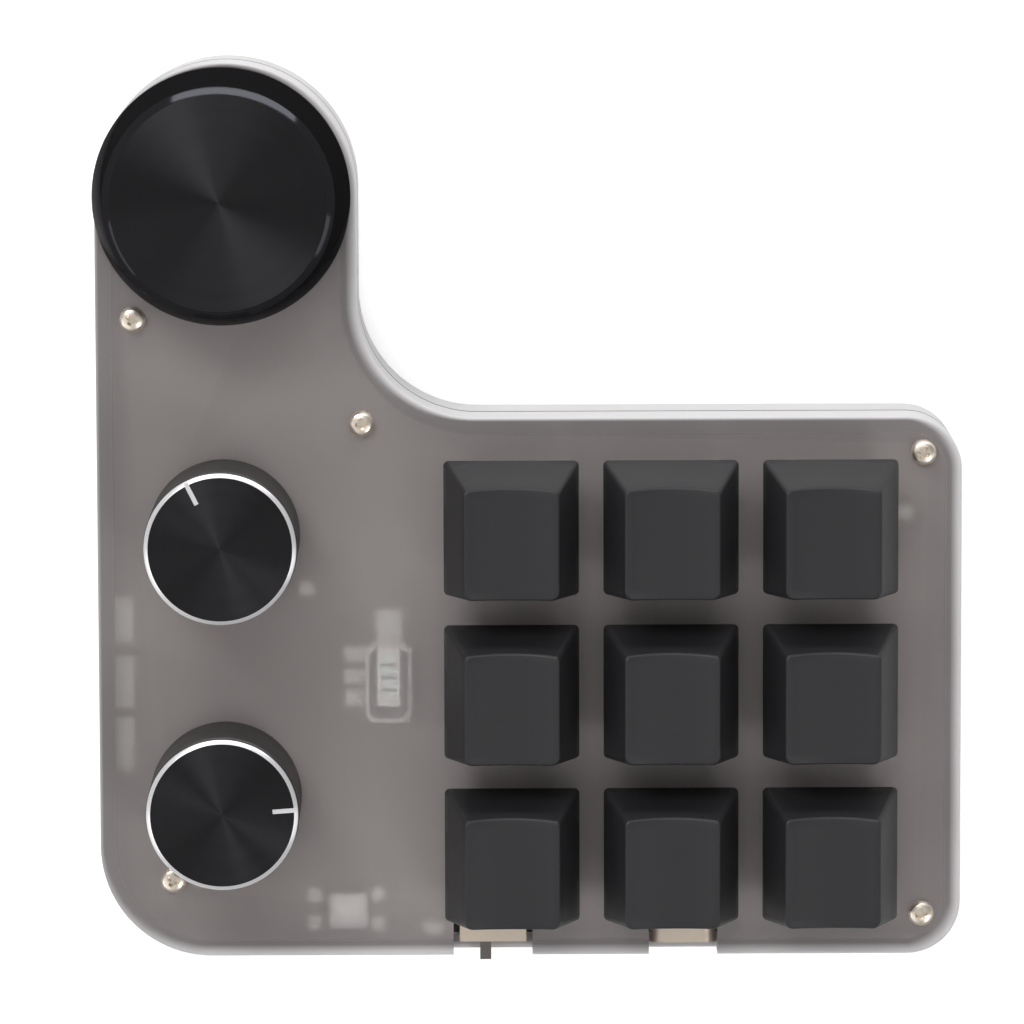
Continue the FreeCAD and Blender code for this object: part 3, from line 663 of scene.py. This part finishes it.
def addTurned(shape, x, y, profile, steps):  # its map runs along the profile and round the turn
    turned = shape.loops.layers.uv.new("turned")
    rings, runs, length = [], [], 0.0
    for i, (r, z, material) in enumerate(profile):
        if i:
            length += math.dist(profile[i][:2], profile[i - 1][:2])
        runs.append(length / turnedLength)
        if r < 1e-6:
            rings.append([shape.verts.new((x, y, z))])
        else:
            rings.append([shape.verts.new((px, py, z)) for px, py in circlePoints(x, y, r, steps)])
    for i, (low, high) in enumerate(zip(rings, rings[1:])):
        for k in range(steps):
            around = []  # vertex, place along the profile and place round the turn
            for ring, run, turns in ((low, runs[i], (k, k + 1)), (high, runs[i + 1], (k + 1, k))):
                if len(ring) == 1:
                    around.append((ring[0], run, (k + 0.5) / steps))
                else:
                    around += [(ring[n % steps], run, n / steps) for n in turns]
            face = shape.faces.new([vert for vert, run, turn in around])
            face.material_index = profile[i][2]
            for loop, (vert, run, turn) in zip(face.loops, around):
                loop[turned].uv = (run, turn)


def knobMaterials(side):
    return [finishes[part] for part in (side, "knobFace", "knobEdge", "knobBevel")]


def buildBigKnob():
    low, high = corners("big_knob_shell")
    x, y = middle("big_encoder_rotor").xy
    sizes = knob["big"]
    outer = (high.y - low.y) / 2
    room = sizes["waist"] - sizes["wall"]
    points = [
        (0.0, high.z - sizes["roof"], 0), (room, high.z - sizes["roof"], 0), (room, low.z, 0),
        (outer, low.z, 0), (outer, low.z + sizes["rim"], 0),
        (sizes["waist"], high.z - sizes["bevelHeight"], 3), (sizes["face"], high.z, 1), (0.0, high.z, 1),
    ]
    shape = bmesh.new()
    addTurned(shape, x, y, roundProfile(points, sizes["rounds"]), knob["steps"])
    piece = newPiece("knobBig", shape, knobMaterials("knobSkirt"))
    smooth(piece, 25)
    settle(piece, "big_knob", "knob_aluminium", "big_knob_shell")


def buildSmallKnob(name):
    low, high = corners(name + "_knob_shell")
    x, y = middle(name + "_encoder_rotor").xy
    sizes = knob["small"]
    outer = (high.y - low.y) / 2
    room, face, neck = outer - sizes["wall"], outer - sizes["bevel"], outer - sizes["step"]
    bevelLow = high.z - sizes["bevelHeight"]
    shelf = bevelLow - sizes["stepDown"]
    points = [
        (0.0, high.z - sizes["roof"], 0), (room, high.z - sizes["roof"], 0), (room, low.z, 0),
        (outer, low.z, 0), (outer, shelf - sizes["step"], 0), (neck, shelf, 0), (neck, bevelLow, 2),
        (face, high.z, 1), (0.0, high.z, 1),
    ]
    shape = bmesh.new()
    addTurned(shape, x, y, roundProfile(points, sizes["rounds"]), knob["steps"])
    piece = newPiece("knob_" + name, shape, knobMaterials("knobSidePaintedLight"))
    slotShape = bmesh.new()
    half = sizes["markWidth"] / 2
    slotVerts = addBox(slotShape, (sizes["markIn"], -half, high.z - sizes["markDepth"]),
                       (outer + over, half, high.z + over), 2)
    turn = Matrix.Rotation(math.radians(knob["markAngle"][name]), 4, "Z")
    bmesh.ops.transform(slotShape, matrix=Matrix.Translation((x, y, 0)) @ turn, verts=slotVerts)
    carve(piece, newPiece("slotCutter", slotShape, knobMaterials("knobSidePaintedLight")))
    smooth(piece, 25)
    settle(piece, name + "_knob", "knob_aluminium", name + "_knob_shell")


buildBigKnob()
buildSmallKnob("middle")
buildSmallKnob("lower")
print("knobs made")


# Screws and feet, set out with Geometry Nodes

screw = {
    "headRound": 1.75, "headHeight": 1.3, "shank": 0.95, "length": 12.0, "steps": 40,
    "dome": [(1.0, 0.45), (0.8, 0.85), (0.45, 0.98)],  # shares of the head's radius and height
    "rounds": {3: 0.1, 4: 0.25, 5: 0.4},
    # cross recess, and how much of its length and width is left at its floor
    "recessWidth": 0.62, "recessLength": 2.2, "recessDepth": 0.9, "recessTaper": (0.55, 0.8),
    "turnSpread": 1.4, "seed": 4,
}
foot = {"round": 4.0, "height": 1.5, "steps": 48, "rounds": {2: 0.4}, "lobeX": -40.4,
        "frontLeft": (-45.0, -44.0), "shoulderY": 2.0}


def copiesTree(name, master, material):
    tree = bpy.data.node_groups.new(name, "GeometryNodeTree")
    tree.interface.new_socket("Places", in_out="INPUT", socket_type="NodeSocketGeometry")
    tree.interface.new_socket("Size", in_out="INPUT", socket_type="NodeSocketFloat")
    tree.interface.new_socket("Turn spread", in_out="INPUT", socket_type="NodeSocketFloat")
    tree.interface.new_socket("Seed", in_out="INPUT", socket_type="NodeSocketInt")
    tree.interface.new_socket("Copies", in_out="OUTPUT", socket_type="NodeSocketGeometry")
    start = addNode(tree, "NodeGroupInput")
    points = addNode(tree, "GeometryNodeMeshToPoints", {"Mesh": (start, "Places")})
    model = addNode(tree, "GeometryNodeObjectInfo", {"Object": master})
    spin = addNode(tree, "FunctionNodeRandomValue", {
        3: (start, "Turn spread"), "Seed": (start, "Seed")}, data_type="FLOAT")
    turn = addNode(tree, "ShaderNodeCombineXYZ", {"Z": (spin, 1)})
    copies = addNode(tree, "GeometryNodeInstanceOnPoints", {
        "Points": (points, "Points"), "Instance": (model, "Geometry"), "Rotation": (turn, "Vector"),
        "Scale": (start, "Size")})
    solid = addNode(tree, "GeometryNodeRealizeInstances", {"Geometry": (copies, "Instances")})
    painted = addNode(tree, "GeometryNodeSetMaterial", {
        "Geometry": (solid, "Geometry"), "Material": material})
    addNode(tree, "NodeGroupOutput", {"Copies": (painted, "Geometry")})
    return tree


def setOut(name, master, material, places, turnSpread=0.0, seed=0):
    dots = bpy.data.meshes.new(name)
    dots.from_pydata([[c * mm for c in place] for place in places], [], [])
    piece = bpy.data.objects.new(name, dots)
    scene.collection.objects.link(piece)
    tree = copiesTree(name + "Copies", master, material)
    layout = piece.modifiers.new("copies", "NODES")
    layout.node_group = tree
    wanted = {"Size": 1.0, "Turn spread": turnSpread, "Seed": seed}
    for socket in tree.interface.items_tree:
        if socket.name in wanted:
            layout[socket.identifier] = wanted[socket.name]
    bake(piece)
    bpy.data.objects.remove(master)
    return piece


def buildScrews():
    r, h = screw["headRound"], screw["headHeight"]
    shank, tip = screw["shank"], -screw["length"]
    points = [(0.0, tip, 0), (shank, tip, 0), (shank, 0.0, 0), (r, 0.0, 0)]
    points += [(r * across, h * up, 0) for across, up in screw["dome"]] + [(0.0, h, 0)]
    shape = bmesh.new()
    addTurned(shape, 0, 0, roundProfile(points, screw["rounds"]), screw["steps"])
    master = newPiece("screwModel", shape, [finishes["nickel"]])
    recess = bmesh.new()
    half, thin = screw["recessLength"] / 2, screw["recessWidth"] / 2
    along, across = screw["recessTaper"]
    for w, d, taperX, taperY in ((half, thin, along, across), (thin, half, across, along)):
        for vert in addBox(recess, (-w, -d, h - screw["recessDepth"]), (w, d, h + over)):
            if vert.co.z < h:
                vert.co.x *= taperX
                vert.co.y *= taperY
    carve(master, newPiece("recessCutter", recess, [finishes["nickel"]]))
    smooth(master, 40)
    places = [(x, y, caseHigh.z) for x, y in case["screws"]]
    piece = setOut("screws", master, finishes["nickel"], places, screw["turnSpread"], screw["seed"])
    settle(piece, "base", "screw_steel", "case_screws")


def buildFeet():
    r, h = foot["round"], foot["height"]
    points = [(0.0, h, 0), (r, h, 0), (r, 0.0, 0), (0.0, 0.0, 0)]
    shape = bmesh.new()
    addTurned(shape, 0, 0, roundProfile(points, foot["rounds"]), foot["steps"])
    master = newPiece("footModel", shape, [finishes["rubber"]])
    smooth(master, 40)
    low, high = corners("rubber_feet")
    right = high.x - r
    places = [(foot["lobeX"], high.y - r, 0), (*foot["frontLeft"], 0), (right, low.y + r, 0),
              (right, foot["shoulderY"], 0)]
    piece = setOut("feet", master, finishes["rubber"], places)
    settle(piece, "base", "foot_rubber", "rubber_feet")


buildScrews()
buildFeet()
print("screws and feet set out")


# What shows of the board through the frosted lid

boardPrint = {
    "thickness": 0.05, "sunk": 0.02, "padSize": 1.8,
    "pads": [
        (-29.15, -52.2), (-29.15, -56.05), (-20.6, -52.1), (-20.6, -56.1), (-29.9, -10.25), (50.6, -0.1)],
    "bars": [  # left, right, front and back edge
        (-20.6, -17.2, -17.5, -13.15), (-24.9, -22.2, -20.25, -18.2), (-24.9, -22.2, -23.2, -21.3),
        (-24.9, -22.2, -26.3, -24.07), (-55.9, -53.4, -17.6, -11.3), (-55.9, -53.4, -26.4, -19.4),
        (-55.9, -53.4, -34.9, -27.8), (-14.3, -11.7, -57.5, -56.0)],
    "contacts": 4, "contact": (1.8, 1.3), "contactWall": 0.5, "contactDrop": 0.15,
}


def buildBoardPrint():
    shape = bmesh.new()
    face = boardHigh.z
    low, high = face - boardPrint["sunk"], face + boardPrint["thickness"] / 2
    for x, y in boardPrint["pads"]:
        addBlock(shape, x, y, boardPrint["padSize"], boardPrint["padSize"], low, high)
    for left, right, front, back in boardPrint["bars"]:
        addBox(shape, (left, front, low), (right, back, high))
    headerLow, headerHigh = corners("header_housing")
    start, end = headerLow.y + boardPrint["contactWall"], headerHigh.y - boardPrint["contactWall"]
    pitch = (end - start) / boardPrint["contacts"]
    x, top = (headerLow.x + headerHigh.x) / 2, headerHigh.z - boardPrint["contactDrop"]
    for i in range(boardPrint["contacts"]):
        addBlock(shape, x, start + (i + 0.5) * pitch, *boardPrint["contact"], face, top)
    piece = newPiece("boardPrint", shape, [finishes["mark"]])
    settle(piece, "base", "board_black")


buildBoardPrint()
print("board print made")


# Camera, floor and light

studio = {
    # the camera: place in millimetres, turn and field of view in degrees
    "eye": (-5.90, 119.73, 946.12), "turn": (-7.320, -0.248, -0.181), "fieldOfView": 8.394,
    # the rest in metres
    "farthest": 20.0, "floorSize": 6.0, "floorColour": "#f4f4f4", "fibreScale": 900.0,
    "floorRoughness": 0.9, "floorGlow": 0.5, "worldColour": "#ffffff", "worldFill": 0.23,
    "aim": (0.0, 0.0, 0.02),
    "lamps": {  # place, width and height, watts
        "back": ((-0.45, 0.65, 0.75), (0.35, 0.35), 3.2),
        "backLow": ((0.15, 1.2, 0.38), (1.7, 0.25), 6.5),
        "backHigh": ((-0.1, 0.8, 1.1), (0.8, 0.5), 3.0),
        "right": ((0.9, -0.35, 0.4), (0.4, 0.3), 0.6),
        "left": ((-0.85, -0.4, 0.4), (0.5, 0.4), 0.9),
        "frontRight": ((0.5, -0.55, 0.9), (0.3, 0.3), 2.0),
        "frontLeft": ((-0.7, -0.5, 0.8), (1.2, 0.8), 2.4),
        "above": ((-0.1, -0.1, 1.3), (1.4, 1.4), 1.6),
    },
}


def setCamera():
    lens = bpy.data.cameras.new("camera")
    lens.sensor_fit = "HORIZONTAL"
    lens.angle = math.radians(studio["fieldOfView"])
    lens.clip_end = studio["farthest"]
    eye = bpy.data.objects.new("camera", lens)
    eye.location = Vector(studio["eye"]) * mm
    eye.rotation_euler = [math.radians(a) for a in studio["turn"]]
    scene.collection.objects.link(eye)
    scene.camera = eye


def setFloor():
    made, tree = newMaterial("paperSweep")  # matt white paper that reads as white to the eye
    glow = addNode(tree, "ShaderNodeMath", {
        0: addSeen(tree), 1: studio["floorGlow"]}, operation="MULTIPLY")
    place = addNode(tree, "ShaderNodeTexCoord")
    fibre = addNode(tree, "ShaderNodeTexNoise", {
        "Vector": (place, "Object"), "Scale": studio["fibreScale"]})
    white = colour(studio["worldColour"])
    finishMaterial(tree, {
        "Base Color": addBlend(tree, (fibre, "Fac"), colour(studio["floorColour"]), white),
        "Roughness": studio["floorRoughness"], "Specular IOR Level": 0.0,
        "Emission Color": white, "Emission Strength": (glow, "Value")})
    shape = bmesh.new()
    bmesh.ops.create_grid(shape, x_segments=1, y_segments=1, size=studio["floorSize"] / 2 / mm)
    floor = newPiece("paperFloor", shape, [made])


def setWorld():
    sky = bpy.data.worlds.new("studio")
    scene.world = sky
    sky.use_nodes = True
    tree = sky.node_tree
    tree.nodes.clear()
    light = addNode(tree, "ShaderNodeBackground", {
        "Color": colour(studio["worldColour"]),
        "Strength": addSpread(tree, addSeen(tree), studio["worldFill"], 1.0)})
    addNode(tree, "ShaderNodeOutputWorld", {"Surface": (light, "Background")})


def setLamps():
    for name, (place, (width, height), watts) in studio["lamps"].items():
        lamp = bpy.data.lights.new(name + "Softbox", "AREA")
        lamp.shape = "RECTANGLE"
        lamp.size, lamp.size_y = width, height
        lamp.energy = watts
        holder = bpy.data.objects.new(name + "Softbox", lamp)
        holder.location = place
        look = Vector(studio["aim"]) - Vector(place)
        holder.rotation_euler = look.to_track_quat("-Z", "Y").to_euler()
        scene.collection.objects.link(holder)


setCamera()
setFloor()
setWorld()
setLamps()
scene.view_settings.view_transform = "Standard"
print("studio set")
